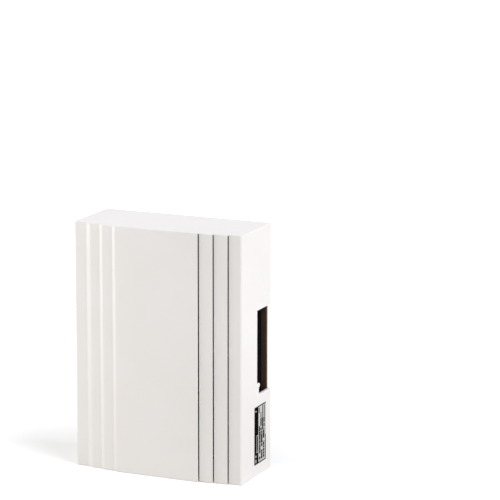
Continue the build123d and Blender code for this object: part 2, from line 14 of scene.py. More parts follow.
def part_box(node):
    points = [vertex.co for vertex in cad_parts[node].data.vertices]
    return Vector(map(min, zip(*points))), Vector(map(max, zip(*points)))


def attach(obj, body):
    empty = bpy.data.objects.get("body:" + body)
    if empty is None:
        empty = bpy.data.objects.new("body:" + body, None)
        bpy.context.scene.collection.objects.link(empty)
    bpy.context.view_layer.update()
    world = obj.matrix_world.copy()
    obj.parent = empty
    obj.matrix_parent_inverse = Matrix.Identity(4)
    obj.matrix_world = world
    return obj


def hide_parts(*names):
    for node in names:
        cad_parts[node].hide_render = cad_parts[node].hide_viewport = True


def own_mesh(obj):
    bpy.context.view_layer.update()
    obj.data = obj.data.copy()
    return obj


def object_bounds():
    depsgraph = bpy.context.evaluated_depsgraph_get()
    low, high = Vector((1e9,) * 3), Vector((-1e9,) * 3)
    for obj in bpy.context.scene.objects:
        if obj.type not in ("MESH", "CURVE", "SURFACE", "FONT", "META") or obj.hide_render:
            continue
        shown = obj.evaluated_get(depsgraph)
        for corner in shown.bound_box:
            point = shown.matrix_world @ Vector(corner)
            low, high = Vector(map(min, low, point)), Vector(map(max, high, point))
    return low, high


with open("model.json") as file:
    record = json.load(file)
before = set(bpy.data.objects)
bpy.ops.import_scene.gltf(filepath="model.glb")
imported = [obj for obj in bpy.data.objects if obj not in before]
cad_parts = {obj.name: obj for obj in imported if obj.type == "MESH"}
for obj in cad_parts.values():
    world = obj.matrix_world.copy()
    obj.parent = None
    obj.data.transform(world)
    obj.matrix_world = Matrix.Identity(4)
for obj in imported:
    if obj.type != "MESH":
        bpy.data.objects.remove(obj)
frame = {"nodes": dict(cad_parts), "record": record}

cad_box = [list(corner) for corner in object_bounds()]

MM = 0.001
NOISE_LEAST, NOISE_MOST = 0.33, 0.67  # where nearly all of a noise texture's values lie
BODY_OF = {node: body for body, nodes in frame["record"]["behaviour"]["bodies"].items() for node in nodes}


# ---------------------------------------------------------------- small helpers

def linear(code):
    """An sRGB hex colour as the linear values that a socket takes."""
    parts = [int(code[i:i + 2], 16) / 255 for i in (1, 3, 5)]
    return [c / 12.92 if c <= 0.04045 else ((c + 0.055) / 1.055) ** 2.4 for c in parts] + [1.0]


def add(tree, kind, settings=None, inputs=None):
    """Adds one node: its own settings, and for each input a value or another node's output."""
    node = tree.nodes.new(kind)
    for name, value in (settings or {}).items():
        setattr(node, name, value)
    for name, value in (inputs or {}).items():
        if isinstance(value, bpy.types.NodeSocket):
            tree.links.new(value, node.inputs[name])
        else:
            node.inputs[name].default_value = value
    return node


def surface(name, sockets):
    """A material with one Principled shader, and the object's own place in millimetres for its patterns."""
    material = bpy.data.materials.new(name)
    material.use_nodes = True
    tree = material.node_tree
    tree.nodes.clear()
    shader = add(tree, "ShaderNodeBsdfPrincipled", inputs=sockets)
    add(tree, "ShaderNodeOutputMaterial", inputs={"Surface": shader.outputs["BSDF"]})
    place = add(tree, "ShaderNodeTexCoord").outputs["Object"]
    in_mm = add(tree, "ShaderNodeVectorMath", {"operation": "SCALE"}, {0: place, "Scale": 1 / MM})
    return material, tree, shader, in_mm.outputs["Vector"]


def patches(tree, place, size_mm, low=0.0, high=1.0, stretch=(1, 1, 1), detail=3.0):
    """A value that wanders from low to high over patches of size_mm, longer along an axis by its stretch."""
    at = add(tree, "ShaderNodeVectorMath", {"operation": "DIVIDE"},
             {0: place, 1: [size_mm * s for s in stretch]}).outputs["Vector"]
    noise = add(tree, "ShaderNodeTexNoise", inputs={"Vector": at, "Scale": 1.0, "Detail": detail})
    return add(tree, "ShaderNodeMapRange", inputs={
        "Value": noise.outputs[0], "From Min": NOISE_LEAST, "From Max": NOISE_MOST,
        "To Min": low, "To Max": high}).outputs[0]


def two_tone(tree, share, first, second):
    """A colour between two sRGB hex tones."""
    mix = add(tree, "ShaderNodeMix", {"data_type": "RGBA"}, {0: share, 6: linear(first), 7: linear(second)})
    return mix.outputs[2]


def relief(tree, shader, height, depth_mm, under=None):
    """Bends the shading by a pattern of 0 to 1 that stands depth_mm high; under is relief already there."""
    inputs = {"Height": height, "Distance": depth_mm * MM, "Strength": 1.0}
    if under is not None:
        inputs["Normal"] = under
    bump = add(tree, "ShaderNodeBump", inputs=inputs)
    tree.links.new(bump.outputs["Normal"], shader.inputs["Normal"])
    return bump.outputs["Normal"]


def join(tree, shader, **outputs):
    """Links patterns to the shader's inputs; an underscore in a name stands for a space."""
    for name, output in outputs.items():
        tree.links.new(output, shader.inputs[name.replace("_", " ")])


# ---------------------------------------------------------------- materials

def cover_polystyrene():
    """High impact polystyrene, injection moulded in a spark-eroded tool: an opaque, faintly warm white with a
    soft satin sheen. The eye sees broad, even faces and a very fine grain. The real grain is near 0.1 mm,
    finer than a pixel, so it is drawn at 0.5 mm."""
    material, tree, shader, place = surface("moulded_polystyrene_warm_white", {"IOR": 1.59})
    tone = patches(tree, place, 38.0)
    join(tree, shader, Base_Color=two_tone(tree, tone, "#F0EDEB", "#F3F0EF"),
         Roughness=patches(tree, place, 9.0, 0.38, 0.46))
    waves = relief(tree, shader, patches(tree, place, 24.0, detail=1.0), 0.03)
    relief(tree, shader, patches(tree, place, 0.5, detail=2.0), 0.0035, waves)
    return material


def base_polystyrene():
    """Brown-black polystyrene, injection moulded from scrap-coloured stock: dull satin, with a coarser grain
    than the cover's and faint flow marks along the long side. Grain drawn at 0.6 mm for a real 0.2 mm."""
    material, tree, shader, place = surface("moulded_polystyrene_brown_black", {
        "IOR": 1.59, "Specular IOR Level": 0.2})
    tone = patches(tree, place, 14.0, stretch=(1, 1, 3))
    join(tree, shader, Base_Color=two_tone(tree, tone, "#423223", "#4E3D2D"),
         Roughness=patches(tree, place, 5.0, 0.5, 0.62))
    relief(tree, shader, patches(tree, place, 0.6), 0.01)
    return material


def plate_lacquer_with_painted_shade():
    """Stoved black lacquer over cold rolled steel strip, with hardly any sheen. Its colour is set darker than
    such lacquer is and its sheen cut nearly to nothing, as painted shade inside the side notch. The long,
    shallow rolling lines still show through the thin film. Lines of 0.15 mm are drawn 0.7 mm wide."""
    material, tree, shader, place = surface(
        "black_lacquer_with_painted_notch_shade", {"IOR": 1.5, "Specular IOR Level": 0.015})
    rolled = patches(tree, place, 0.7, stretch=(1, 1, 40))
    # near-black colour, darker than lacquer is: painted shade for the inside of the notch
    join(tree, shader, Base_Color=two_tone(tree, rolled, "#070606", "#0F0E0D"),
         Roughness=patches(tree, place, 6.0, 0.8, 0.92))
    relief(tree, shader, rolled, 0.012)
    return material


def zinc_plate():
    """Bright zinc plate with a clear passivation on pressed steel: a cool grey metal with cloudy patches a
    few millimetres wide, duller where handled."""
    material, tree, shader, place = surface("zinc_plated_pressed_steel", {"Metallic": 1.0})
    cloud = patches(tree, place, 4.0)
    join(tree, shader, Base_Color=two_tone(tree, cloud, "#B7B9B8", "#D0CFC8"),
         Roughness=patches(tree, place, 2.5, 0.26, 0.42))
    relief(tree, shader, patches(tree, place, 0.35), 0.003)
    return material


def ground_steel():
    """Centreless ground free-cutting steel: bright grey, with fine rings round the bar from the wheel. Rings
    of 0.05 mm are drawn at 0.25 mm."""
    material, tree, shader, place = surface("centreless_ground_steel", {"Metallic": 1.0})
    rings = patches(tree, place, 0.25, stretch=(1, 60, 60))
    join(tree, shader, Base_Color=two_tone(tree, rings, "#9C9B97", "#B3B2AE"),
         Roughness=patches(tree, place, 3.0, 0.2, 0.34))
    relief(tree, shader, rings, 0.002)
    return material


def spring_wire():
    """Patented carbon steel wire, drawn through soap: dark silvery grey with a dry lubricant film that leaves
    duller spots."""
    material, tree, shader, place = surface("drawn_carbon_spring_wire", {"Metallic": 1.0})
    film = patches(tree, place, 1.2)
    join(tree, shader, Base_Color=two_tone(tree, film, "#85857F", "#A09F9A"),
         Roughness=patches(tree, place, 0.8, 0.25, 0.45))
    relief(tree, shader, patches(tree, place, 0.2), 0.002)
    return material


def grommet_rubber():
    """Compression moulded nitrile rubber: near black and matt, with a greyish bloom of wax in patches."""
    material, tree, shader, place = surface("moulded_nitrile_rubber", {"IOR": 1.52})
    bloom = patches(tree, place, 2.2)
    join(tree, shader, Base_Color=two_tone(tree, bloom, "#1C1B1A", "#2B2927"),
         Roughness=patches(tree, place, 1.5, 0.62, 0.85))
    relief(tree, shader, patches(tree, place, 0.3), 0.01)
    return material


def bobbin_nylon():
    """Natural polyamide 6, injection moulded: milky cream, lets a little light in, satin with slight sink
    waves."""
    material, tree, shader, place = surface("moulded_natural_polyamide", {
        "IOR": 1.53, "Subsurface Weight": 0.15, "Subsurface Radius": (1.0, 0.8, 0.5), "Subsurface Scale": MM})
    tone = patches(tree, place, 7.0)
    join(tree, shader, Base_Color=two_tone(tree, tone, "#DDD3BA", "#E8E0CA"),
         Roughness=patches(tree, place, 3.0, 0.36, 0.5))
    relief(tree, shader, patches(tree, place, 2.5, detail=1.0), 0.012)
    return material


def striker_nylon():
    """Extruded polyamide 66 rod, turned to shape: white and waxy, with tool rings round it, 0.1 mm apart and
    drawn at 0.3 mm."""
    material, tree, shader, place = surface("turned_polyamide_rod", {
        "IOR": 1.53, "Subsurface Weight": 0.12, "Subsurface Radius": (1.0, 0.9, 0.7), "Subsurface Scale": MM})
    rings = patches(tree, place, 0.3, stretch=(1, 50, 50))
    join(tree, shader, Base_Color=two_tone(tree, patches(tree, place, 4.0), "#E6E1D3", "#EEEADF"),
         Roughness=patches(tree, place, 2.0, 0.34, 0.46))
    relief(tree, shader, rings, 0.006)
    return material


def terminal_polyamide():
    """Flame-resistant glass-filled polyamide, injection moulded black: dry and dull, slightly speckled where
    the filler reaches the skin. Filler specks of 0.05 mm are drawn at 0.4 mm."""
    material, tree, shader, place = surface("moulded_black_filled_polyamide", {"IOR": 1.53})
    speck = patches(tree, place, 0.4)
    join(tree, shader, Base_Color=two_tone(tree, speck, "#1E1D1B", "#2C2A28"),
         Roughness=patches(tree, place, 3.0, 0.45, 0.6))
    relief(tree, shader, speck, 0.008)
    return material


def enamelled_copper():
    """Copper wire in clear polyurethane enamel, layer wound: warm red-brown metal under a gloss film, in
    turns side by side, its colour darker in the grooves between turns and lighter on their crowns as painted
    shade and painted highlight. Wire of 0.2 mm is drawn 0.35 mm wide."""
    material, tree, shader, place = surface(
        "enamelled_copper_wire_with_painted_groove_shade", {"Metallic": 1.0, "Coat Weight": 0.6, "Coat Roughness": 0.12})
    turns = patches(tree, place, 0.35, stretch=(1, 80, 80), detail=0.0)
    # the turns pattern also colours the wire: darker in its grooves, lighter on its crowns, painted shade and
    # highlight
    join(tree, shader, Base_Color=two_tone(tree, turns, "#8E4A2A", "#C07A4E"),
         Roughness=patches(tree, place, 1.0, 0.24, 0.38))
    relief(tree, shader, turns, 0.05)
    return material


def coil_tape():
    """Yellow polyester film tape, wound tight: glossy amber film that shows the wire's ridges and a few
    trapped creases."""
    material, tree, shader, place = surface(
        "polyester_film_tape_yellow", {"IOR": 1.64, "Coat Weight": 0.3, "Coat Roughness": 0.08})
    ridges = patches(tree, place, 0.5, stretch=(1, 30, 30), detail=1.0)
    join(tree, shader, Base_Color=two_tone(tree, patches(tree, place, 5.0), "#C99A22", "#DDB23A"),
         Roughness=patches(tree, place, 2.0, 0.18, 0.32))
    creases = relief(tree, shader, patches(tree, place, 3.0, stretch=(3, 1, 1)), 0.05)
    relief(tree, shader, ridges, 0.015, creases)
    return material


def drawn_brass():
    """Drawn brass tube and strip: yellow metal with straight die lines along it and slight tarnish."""
    material, tree, shader, place = surface("drawn_brass", {"Metallic": 1.0})
    tarnish = patches(tree, place, 3.5)
    join(tree, shader, Base_Color=two_tone(tree, tarnish, "#B8924A", "#D6B468"),
         Roughness=patches(tree, place, 1.5, 0.22, 0.38))
    relief(tree, shader, patches(tree, place, 0.25, stretch=(30, 1, 1)), 0.003)
    return material


def lead_sleeving():
    """Extruded vinyl sleeving over tinned wire: off-white and faintly glossy, with a slight draw ripple."""
    material, tree, shader, place = surface("extruded_vinyl_sleeving", {"IOR": 1.54})
    join(tree, shader, Base_Color=two_tone(tree, patches(tree, place, 3.0), "#D5D3CE", "#DFDDD8"),
         Roughness=patches(tree, place, 1.0, 0.35, 0.5))
    relief(tree, shader, patches(tree, place, 0.8, detail=1.0), 0.01)
    return material


def soft_solder():
    """Tin-lead solder, melted on by hand: smooth bright grey with frosty patches where it cooled slowly."""
    material, tree, shader, place = surface("soft_solder", {"Metallic": 1.0})
    frost = patches(tree, place, 0.6)
    join(tree, shader, Base_Color=two_tone(tree, frost, "#B4B5B6", "#CFCFCD"),
         Roughness=patches(tree, place, 0.5, 0.18, 0.45))
    relief(tree, shader, frost, 0.01)
    return material


def label_film():
    """Vacuum-metallised polyester film label, matt varnished: light neutral grey with a faint brushed look.
    Real brush lines of 0.05 mm are drawn at 0.4 mm."""
    material, tree, shader, place = surface("matt_polyester_label_film", {"IOR": 1.5})
    lines = patches(tree, place, 0.4, stretch=(1, 1, 30))
    join(tree, shader, Base_Color=two_tone(tree, lines, "#BCBCBA", "#CBCBC9"),
         Roughness=patches(tree, place, 4.0, 0.38, 0.5))
    relief(tree, shader, lines, 0.002)
    return material


def label_ink():
    """Screen printed black ink on the label: a dense, slightly raised film with a mesh-soft surface. Mesh of
    0.08 mm is drawn at 0.3 mm."""
    material, tree, shader, place = surface("screen_printed_black_ink", {
        "IOR": 1.5, "Specular IOR Level": 0.015})
    mesh = patches(tree, place, 0.3)
    join(tree, shader, Base_Color=two_tone(tree, mesh, "#050505", "#0B0A0A"),
         Roughness=patches(tree, place, 2.0, 0.75, 0.9))
    relief(tree, shader, mesh, 0.002)
    return material


WHITE_STYRENE = cover_polystyrene()
DARK_STYRENE = base_polystyrene()
LACQUER_WITH_PAINTED_SHADE = plate_lacquer_with_painted_shade()
ZINC = zinc_plate()
GROUND_STEEL = ground_steel()
WIRE = spring_wire()
RUBBER = grommet_rubber()
NATURAL_NYLON = bobbin_nylon()
TURNED_NYLON = striker_nylon()
TERMINAL_NYLON = terminal_polyamide()
COPPER = enamelled_copper()
TAPE = coil_tape()
BRASS = drawn_brass()
SLEEVING = lead_sleeving()
SOLDER = soft_solder()
FILM = label_film()
INK = label_ink()


# ---------------------------------------------------------------- ways to make a piece

WELD = 1e-6            # corners of a CAD mesh nearer than this are one corner
FLAT_DEGREES = 0.5     # faces that meet flatter than this are one face
CORNER_DEGREES = 35    # edges sharper than this are eased
EDGE_SEGMENTS = 2


def smooth(mesh, angle=40):
    """Shades a mesh as one curved surface, apart from corners sharper than the angle in degrees."""
    for face in mesh.polygons:
        face.use_smooth = True
    mesh.set_sharp_from_angle(angle=math.radians(angle))
    return mesh


def mesh_of(shape, name):
    """The plain mesh of an edited shape, which is then freed."""
    mesh = bpy.data.meshes.new(name)
    shape.to_mesh(mesh)
    shape.free()
    return mesh


def show(name, mesh, material, node, replaced=True):
    """Puts a finished mesh in the scene on a CAD node's body; where replaced, it stands for that node."""
    piece = bpy.data.objects.new(name, mesh)
    bpy.context.scene.collection.objects.link(piece)
    mesh.materials.clear()
    mesh.materials.append(material)
    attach(piece, BODY_OF[node])
    if replaced:
        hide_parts(node)
    return piece


def evaluated(mesh, kind, settings):
    """The plain mesh that one modifier makes of a mesh; a geometry tree's inputs go in by their names."""
    holder = bpy.data.objects.new("holder", mesh)
    bpy.context.scene.collection.objects.link(holder)
    modifier = holder.modifiers.new("shape", kind)
    if kind == "NODES":
        modifier.node_group = settings.pop("tree")
        for item in modifier.node_group.interface.items_tree:
            if item.in_out == "INPUT" and item.name in settings:
                modifier[item.identifier] = settings[item.name]
    else:
        for name, value in settings.items():
            setattr(modifier, name, value)
    graph = bpy.context.evaluated_depsgraph_get()
    result = bpy.data.meshes.new_from_object(
        holder.evaluated_get(graph), preserve_all_data_layers=True, depsgraph=graph)
    holder.modifiers.remove(modifier)
    bpy.data.objects.remove(holder)
    return result


def grown(tree, **sizes):
    """The mesh that a geometry tree makes; an underscore in a size's name stands for a space."""
    named = {name.replace("_", " "): value for name, value in sizes.items()}
    return evaluated(bpy.data.meshes.new(tree.name), "NODES", {"tree": tree, **named})


def flat_shaded_flats(mesh):
    """Gives a mesh normals weighted by face area, so that broad flats shade flat between eased corners."""
    return evaluated(mesh, "WEIGHTED_NORMAL", {"mode": "FACE_AREA", "weight": 100, "keep_sharp": True})


def soft_edged(node, name, edge_mm, material):
    """A copy of a CAD node with its corners eased by edge_mm, as a tool or a tumbler leaves them."""
    shape = bmesh.new()
    shape.from_mesh(frame["nodes"][node].data)
    bmesh.ops.remove_doubles(shape, verts=shape.verts, dist=WELD)
    bmesh.ops.dissolve_limit(shape, angle_limit=math.radians(FLAT_DEGREES), verts=shape.verts,
                             edges=shape.edges, delimit={"NORMAL"})
    for face in shape.faces:
        face.smooth = True
    eased = evaluated(mesh_of(shape, name), "BEVEL", {
        "width": edge_mm * MM, "segments": EDGE_SEGMENTS, "limit_method": "ANGLE",
        "angle_limit": math.radians(CORNER_DEGREES), "use_clamp_overlap": False, "miter_outer": "MITER_ARC"})
    return show(name, flat_shaded_flats(eased), material, node)


def geometry_tree(name, sizes):
    """A new geometry tree with a named input for each size, and its input node's outputs."""
    tree = bpy.data.node_groups.new(name, "GeometryNodeTree")
    for label, value in sizes.items():
        kind = "NodeSocketInt" if isinstance(value, int) else "NodeSocketFloat"
        tree.interface.new_socket(label, in_out="INPUT", socket_type=kind).default_value = value
    tree.interface.new_socket("Geometry", in_out="OUTPUT", socket_type="NodeSocketGeometry")
    return tree, add(tree, "NodeGroupInput").outputs


def close_tree(tree, geometry, material):
    """Ends a geometry tree in real geometry of one material."""
    real = add(tree, "GeometryNodeRealizeInstances", inputs={0: geometry})
    painted = add(tree, "GeometryNodeSetMaterial", inputs={"Geometry": real.outputs[0], "Material": material})
    add(tree, "NodeGroupOutput", inputs={0: painted.outputs[0]})
    return tree


def calculate(tree, operation, first, second=0.0, third=0.0):
    """One sum of values in a tree."""
    return add(tree, "ShaderNodeMath", {"operation": operation}, {0: first, 1: second, 2: third}).outputs[0]


# ---------------------------------------------------------------- coiled wire and solder

WIRE_SIDES = 12        # sides of a wire's drawn section
PIN_RADIUS = 0.5 * MM  # of the bobbin's two lead pins


def coiled_wire_tree(material):
    """A wire wound round X from the origin, with a closed turn at each end and open turns between them."""
    tree, size = geometry_tree("coiled_wire", {
        "Radius": 0.0057, "Length": 0.013, "Turns": 8.0, "Wire": 0.0007, "Steps": 320})
    line = add(tree, "GeometryNodeCurvePrimitiveLine")
    steps = add(tree, "GeometryNodeResampleCurve", inputs={"Curve": line.outputs[0], "Count": size["Steps"]})
    along = add(tree, "GeometryNodeSplineParameter").outputs["Factor"]
    turn = calculate(tree, "MULTIPLY", along, size["Turns"])
    open_turns = calculate(tree, "SUBTRACT", size["Turns"], 2.0)
    room = calculate(tree, "SUBTRACT", size["Length"], calculate(tree, "MULTIPLY", size["Wire"], 2.0))
    pitch = calculate(tree, "DIVIDE", room, open_turns)
    first = calculate(tree, "MINIMUM", turn, 1.0)
    past = calculate(tree, "MAXIMUM", calculate(tree, "SUBTRACT", turn, 1.0))
    middle = calculate(tree, "MINIMUM", past, open_turns)
    last = calculate(tree, "MAXIMUM", calculate(tree, "SUBTRACT", past, open_turns))
    closed = calculate(tree, "MULTIPLY", calculate(tree, "ADD", first, last), size["Wire"])
    x = calculate(tree, "MULTIPLY_ADD", middle, pitch, closed)
    angle = calculate(tree, "MULTIPLY", turn, 2 * math.pi)
    y = calculate(tree, "MULTIPLY", calculate(tree, "COSINE", angle), size["Radius"])
    z = calculate(tree, "MULTIPLY", calculate(tree, "SINE", angle), size["Radius"])
    point = add(tree, "ShaderNodeCombineXYZ", inputs={0: x, 1: y, 2: z})
    wound = add(tree, "GeometryNodeSetPosition", inputs={0: steps.outputs[0], "Position": point.outputs[0]})
    wire_radius = calculate(tree, "MULTIPLY", size["Wire"], 0.5)
    section = add(tree, "GeometryNodeCurvePrimitiveCircle", inputs={
        "Resolution": WIRE_SIDES, "Radius": wire_radius})
    tube = add(tree, "GeometryNodeCurveToMesh", inputs={
        "Curve": wound.outputs[0], "Profile Curve": section.outputs[0], "Fill Caps": True})
    return close_tree(tree, tube.outputs[0], material)


def return_spring():
    """The return spring between the yoke's ear and the plunger's collar."""
    low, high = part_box("return_spring")
    wire, turns, steps, middle = 0.7 * MM, 8.0, 385, (low + high) / 2
    radius = (high.z - low.z) / 2 - wire / 2
    reach = high.x - low.x - wire
    mesh = grown(coiled_wire_tree(WIRE), Radius=radius, Length=reach, Turns=turns, Wire=wire, Steps=steps)
    mesh.transform(Matrix.Translation((low.x + wire / 2, middle.y, middle.z)))
    piece = show("return_spring_wire", smooth(mesh), WIRE, "return_spring")
    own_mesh(piece)


def pin_wraps():
    """The ends of the winding, wrapped six turns round each lead pin below the bobbin's ledge."""
    shape = bmesh.new()
    low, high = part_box("coil_pins")
    wire, reach, turns, steps = 0.25 * MM, 1.5 * MM, 6.0, 121
    tree = coiled_wire_tree(COPPER)
    downward = Matrix.Rotation(math.radians(90), 4, "Y")
    for depth in (low.y + PIN_RADIUS, high.y - PIN_RADIUS):
        mesh = grown(tree, Radius=PIN_RADIUS + wire / 2, Length=reach, Turns=turns, Wire=wire, Steps=steps)
        place = (low.x + high.x) / 2, depth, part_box("coil_bobbin")[0].z
        mesh.transform(Matrix.Translation(place) @ downward)
        shape.from_mesh(mesh)
    show("winding_ends", smooth(mesh_of(shape, "winding_ends")), COPPER, "coil_winding", replaced=False)


def solder_drop_tree(material):
    """A frozen drop of solder round Z, fuller towards its foot, with an uneven skin."""
    tree, size = geometry_tree("solder_drop", {
        "Wide": 0.001, "Deep": 0.001, "Tall": 0.0012, "Taper": 0.3, "Uneven": 0.0002, "Seed": 4})
    ball = add(tree, "GeometryNodeMeshIcoSphere", inputs={"Radius": 1.0, "Subdivisions": 4})
    place = add(tree, "GeometryNodeInputPosition").outputs[0]
    part = add(tree, "ShaderNodeSeparateXYZ", inputs={0: place}).outputs
    narrow = calculate(tree, "SUBTRACT", 1.0, calculate(tree, "MULTIPLY", part["Z"], size["Taper"]))
    x = calculate(tree, "MULTIPLY", calculate(tree, "MULTIPLY", part["X"], size["Wide"]), narrow)
    y = calculate(tree, "MULTIPLY", calculate(tree, "MULTIPLY", part["Y"], size["Deep"]), narrow)
    z = calculate(tree, "MULTIPLY", part["Z"], size["Tall"])
    drop = add(tree, "ShaderNodeCombineXYZ", inputs={0: x, 1: y, 2: z}).outputs[0]
    noise = add(tree, "ShaderNodeTexNoise", {"noise_dimensions": "4D"}, {
        "Vector": place, "W": size["Seed"], "Scale": 1.4, "Detail": 1.0}).outputs[0]
    swell = calculate(tree, "MULTIPLY", calculate(tree, "SUBTRACT", noise, 0.5), size["Uneven"])
    push = add(tree, "ShaderNodeVectorMath", {"operation": "SCALE"}, {0: place, "Scale": swell}).outputs[0]
    moved = add(tree, "GeometryNodeSetPosition", inputs={
        0: ball.outputs[0], "Position": drop, "Offset": push})
    return close_tree(tree, moved.outputs[0], material)


def solder_joints():
    """Hand-soldered joints: a drop where each lead meets its pin, and a wider one on each bar's tail."""
    shape = bmesh.new()
    tree = solder_drop_tree(SOLDER)
    (pin_low, pin_high), (bar_low, bar_high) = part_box("coil_pins"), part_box("terminal_bars")
    pin_drop, bar_drop = (0.95, 0.95, 1.3), (1.6, 1.05, 1.2)  # wide, deep and tall, in millimetres
    bar_half, taper, uneven = 2.1 * MM, 0.28, 0.3 * MM
    pin_x, bar_y = (pin_low.x + pin_high.x) / 2, (bar_low.y + bar_high.y) / 2
    drops = [((pin_x, pin_low.y + PIN_RADIUS, pin_low.z), pin_drop),
             ((pin_x, pin_high.y - PIN_RADIUS, pin_low.z), pin_drop),
             ((bar_low.x + bar_half, bar_y, bar_high.z), bar_drop),
             ((bar_high.x - bar_half, bar_y, bar_high.z), bar_drop)]
    for seed, (place, (wide, deep, tall)) in enumerate(drops):
        mesh = grown(tree, Wide=wide * MM, Deep=deep * MM, Tall=tall * MM, Taper=taper, Uneven=uneven,
                     Seed=seed)
        mesh.transform(Matrix.Translation(place))
        shape.from_mesh(mesh)
    mesh = smooth(mesh_of(shape, "solder_joints"))
    piece = show("solder_joints", mesh, SOLDER, "coil_pins", replaced=False)


# ---------------------------------------------------------------- tone plate mountings

NODE_SHARE = 0.224     # a ringing bar stands still at this share of its length from each end


def plate_mounts():
    """Side and place of the four plate pins, from the low plate's and the high plate's nodes."""
    places = []
    for node, side in (("tone_plate_low", -1), ("tone_plate_high", 1)):
        low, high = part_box(node)
        height = (high.z - low.z) * (1 / 2 - NODE_SHARE)
        for z in (-height, height):
            places.append((side, Vector(((high.x if side > 0 else low.x), (low.y + high.y) / 2, z))))
    return places


def star_washer_tree(material):
    """A domed push-on washer round X: a disc with a star-shaped bore whose teeth bite on the pin."""
    tree, size = geometry_tree("star_washer", {
        "Outside": 0.0036, "Bite": 0.00178, "Root": 0.0026, "Thickness": 0.0003, "Dome": 0.0001, "Teeth": 6})
    sides, tooth_round = 48, 0.25 * MM
    rim = add(tree, "GeometryNodeCurvePrimitiveCircle", inputs={
        "Resolution": sides, "Radius": size["Outside"]})
    star = add(tree, "GeometryNodeCurveStar", inputs={
        "Points": size["Teeth"], "Inner Radius": size["Bite"], "Outer Radius": size["Root"]})
    eased = add(tree, "GeometryNodeFilletCurve", inputs={
        "Curve": star.outputs[0], "Radius": tooth_round, "Limit Radius": True})
    both = add(tree, "GeometryNodeJoinGeometry")
    tree.links.new(rim.outputs[0], both.inputs[0])
    tree.links.new(eased.outputs[0], both.inputs[0])
    flat = add(tree, "GeometryNodeFillCurve", inputs={0: both.outputs[0]})
    raised = add(tree, "GeometryNodeExtrudeMesh", inputs={
        "Mesh": flat.outputs[0], "Offset Scale": size["Thickness"], "Individual": False})
    under = add(tree, "GeometryNodeFlipFaces", inputs={0: flat.outputs[0]})
    whole = add(tree, "GeometryNodeJoinGeometry")
    tree.links.new(raised.outputs[0], whole.inputs[0])
    tree.links.new(under.outputs[0], whole.inputs[0])
    closed = add(tree, "GeometryNodeMergeByDistance", inputs={0: whole.outputs[0], "Distance": WELD / 10})
    place = add(tree, "GeometryNodeInputPosition").outputs[0]
    parts = add(tree, "ShaderNodeSeparateXYZ", inputs={0: place})
    span = add(tree, "ShaderNodeCombineXYZ", inputs={0: parts.outputs[0], 1: parts.outputs[1]})
    radius = add(tree, "ShaderNodeVectorMath", {"operation": "LENGTH"}, {0: span.outputs[0]}).outputs["Value"]
    share = calculate(tree, "SUBTRACT", 1.0, calculate(tree, "DIVIDE", radius, size["Outside"]))
    lift = add(tree, "ShaderNodeCombineXYZ", inputs={2: calculate(tree, "MULTIPLY", share, size["Dome"])})
    domed = add(tree, "GeometryNodeSetPosition", inputs={0: closed.outputs[0], "Offset": lift.outputs[0]})
    return close_tree(tree, domed.outputs[0], material)


def pin_retainers():
    """The four push-on washers, each domed away from its plate."""
    tree = star_washer_tree(WIRE)
    shape = bmesh.new()
    low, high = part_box("pin_retainers")
    outside, bite, root, thickness, dome = (size * MM for size in (3.55, 1.8, 2.6, 0.26, 0.2))
    seat_inset, teeth, crease_degrees = 0.4 * MM, 6, 30
    for side, place in plate_mounts():
        mesh = grown(tree, Outside=outside, Bite=bite, Root=root, Thickness=thickness, Dome=dome, Teeth=teeth)
        seat = high.x - seat_inset if side > 0 else low.x + seat_inset
        turn = Matrix.Rotation(math.radians(90 * side), 4, "Y")
        mesh.transform(Matrix.Translation((seat, place.y, place.z)) @ turn)
        shape.from_mesh(mesh)
    mesh = smooth(mesh_of(shape, "pin_star_washers"), crease_degrees)
    show("pin_star_washers", mesh, WIRE, "pin_retainers")


def turned(shape, profile, place, side, sides=40):
    """Adds a body of revolution round X; the profile is a closed outline of distances along X and radii."""
    rings = []
    for step in range(sides):
        angle = 2 * math.pi * step / sides
        rings.append([shape.verts.new(place + Vector((side * x, r * math.cos(angle), r * math.sin(angle))))
                      for x, r in profile])
    for step in range(sides):
        near, far = rings[step], rings[(step + 1) % sides]
        for i in range(len(profile)):
            j = (i + 1) % len(profile)
            shape.faces.new((near[i], near[j], far[j], far[i]))


def rounded_outline(points, radii, steps=4):
    """A closed outline with each corner rounded by its own radius."""
    outline = []
    for i, corner in enumerate(points):
        corner = Vector(corner)
        before, after = Vector(points[i - 1]) - corner, Vector(points[(i + 1) % len(points)]) - corner
        radius = radii[i]
        if radius <= 0:
            outline.append(corner)
            continue
        half = before.angle(after) / 2
        reach = radius / math.tan(half)
        start, end = corner + before.normalized() * reach, corner + after.normalized() * reach
        centre = corner + (before.normalized() + after.normalized()).normalized() * (radius / math.sin(half))
        for step in range(steps + 1):
            spoke = (start - centre).lerp(end - centre, step / steps).normalized() * radius
            outline.append(centre + spoke)
    return outline


def grommets():
    """Four moulded grommets with fat rounded flanges and a narrow waist in the plate's hole."""
    shape = bmesh.new()
    bore, waist, flange, lip = 1.8 * MM, 3.35 * MM, 4.6 * MM, 1.2 * MM
    inner_round, outer_round = 0.25 * MM, 0.45 * MM
    for node, mounts in (("tone_plate_low", plate_mounts()[:2]), ("tone_plate_high", plate_mounts()[2:])):
        plate_low, plate_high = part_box(node)
        half = (plate_high.x - plate_low.x) / 2
        points = [(-half - lip, bore), (-half - lip, flange), (-half, flange), (-half, waist),
                  (half, waist), (half, flange), (half + lip, flange), (half + lip, bore)]
        corner = [inner_round, outer_round, inner_round, 0.0]
        profile = rounded_outline(points, corner + corner[::-1])
        for side, place in mounts:
            turned(shape, profile, Vector(((plate_low.x + plate_high.x) / 2, place.y, place.z)), side)
    bmesh.ops.recalc_face_normals(shape, faces=shape.faces)
    show("plate_grommets", smooth(mesh_of(shape, "plate_grommets")), RUBBER, "tone_plate_grommets")


# ---------------------------------------------------------------- sticker

